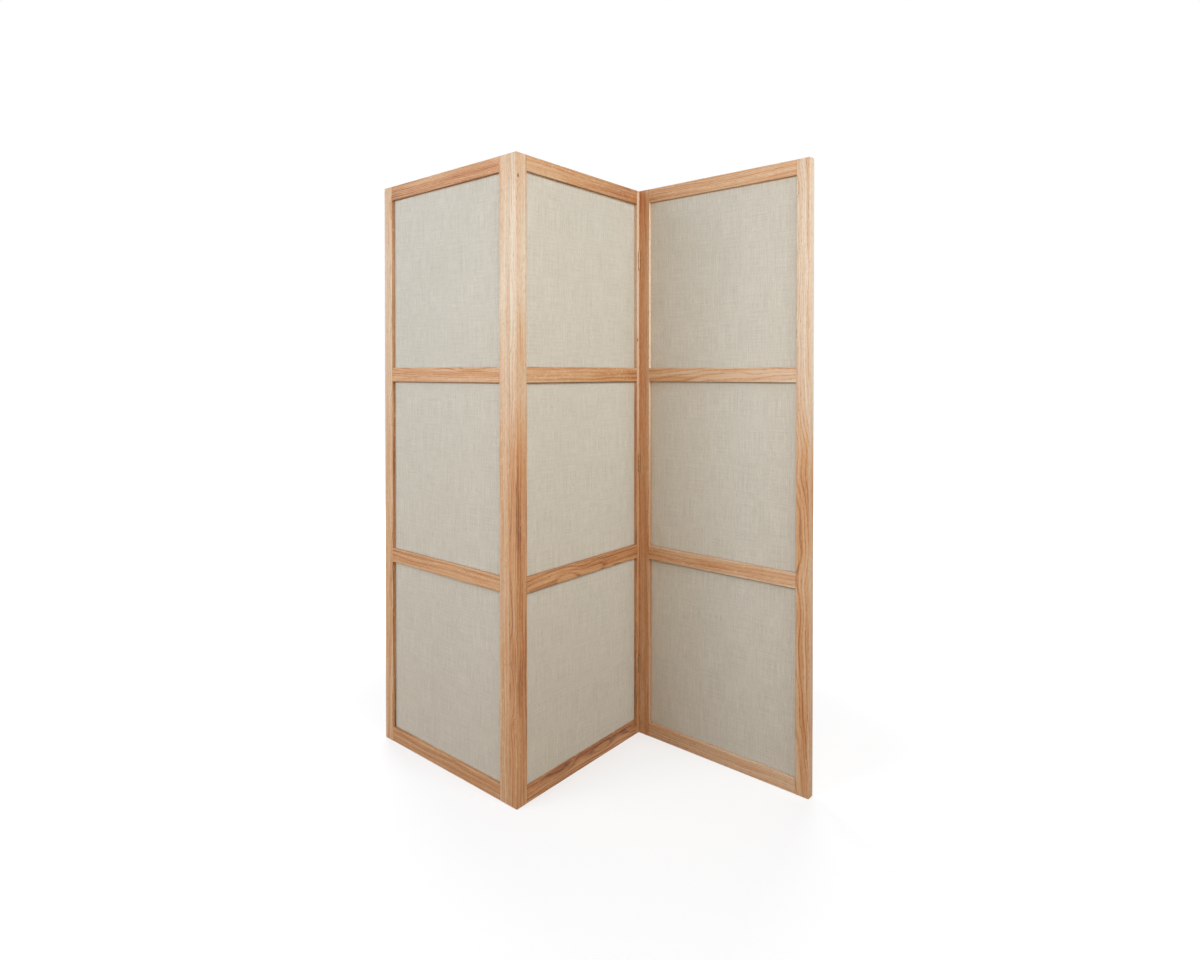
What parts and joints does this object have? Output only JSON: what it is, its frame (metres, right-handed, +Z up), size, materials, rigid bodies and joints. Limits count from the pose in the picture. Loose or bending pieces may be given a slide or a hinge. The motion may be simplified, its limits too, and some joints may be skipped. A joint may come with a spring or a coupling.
{
  "type": "room divider",
  "caption": "Free-standing folding screen: tall oak frames with linen-covered infill boards, hinged edge to face so that it stands square-cornered in a zigzag and folds flat.",
  "frame": {"origin": "on the floor, at the middle of the middle panel, which is the bottom centre of the whole screen's box at rest", "axes": "+Z up; +X along the middle panel to its right end; -Y out of the middle panel's front. The left panel runs off towards +Y and the right panel towards -Y"},
  "size_m": [0.59, 1.209, 1.8],
  "materials": {
    "oak": "oiled, satin",
    "board": "raw board",
    "beech": "raw",
    "linen": "plain-woven, undyed",
    "brass": "satin, aged"
  },
  "bodies": {
    "middle_panel": {"middle_left_stile": "oak", "middle_right_stile": "oak", "middle_bottom_rail": "oak", "middle_lower_rail": "oak", "middle_upper_rail": "oak", "middle_top_rail": "oak", "middle_bottom_board": "board", "middle_centre_board": "board", "middle_top_board": "board", "middle_bottom_linen": "linen", "middle_centre_linen": "linen", "middle_top_linen": "linen", "middle_dowels": "beech", "left_hinge_fixed_leaves": "brass", "left_hinge_fixed_screws": "brass", "left_hinge_pins": "brass", "right_hinge_fixed_leaves": "brass", "right_hinge_fixed_screws": "brass", "right_hinge_pins": "brass"},
    "left_panel": {"left_outer_stile": "oak", "left_hinge_stile": "oak", "left_bottom_rail": "oak", "left_lower_rail": "oak", "left_upper_rail": "oak", "left_top_rail": "oak", "left_bottom_board": "board", "left_centre_board": "board", "left_top_board": "board", "left_bottom_linen": "linen", "left_centre_linen": "linen", "left_top_linen": "linen", "left_dowels": "beech", "left_hinge_swing_leaves": "brass", "left_hinge_swing_screws": "brass"},
    "right_panel": {"right_hinge_stile": "oak", "right_outer_stile": "oak", "right_bottom_rail": "oak", "right_lower_rail": "oak", "right_upper_rail": "oak", "right_top_rail": "oak", "right_bottom_board": "board", "right_centre_board": "board", "right_top_board": "board", "right_bottom_linen": "linen", "right_centre_linen": "linen", "right_top_linen": "linen", "right_dowels": "beech", "right_hinge_swing_leaves": "brass", "right_hinge_swing_screws": "brass"}
  },
  "joints": [
    {"name": "left_fold", "type": "hinge", "parent": "middle_panel", "child": "left_panel", "pos_m": [-0.2642, 0.0168, 0.9], "axis": [0, 0, -1], "range_deg": [0, 90]},
    {"name": "right_fold", "type": "hinge", "parent": "middle_panel", "child": "right_panel", "pos_m": [0.2642, -0.0168, 0.9], "axis": [0, 0, -1], "range_deg": [0, 90]}
  ]
}
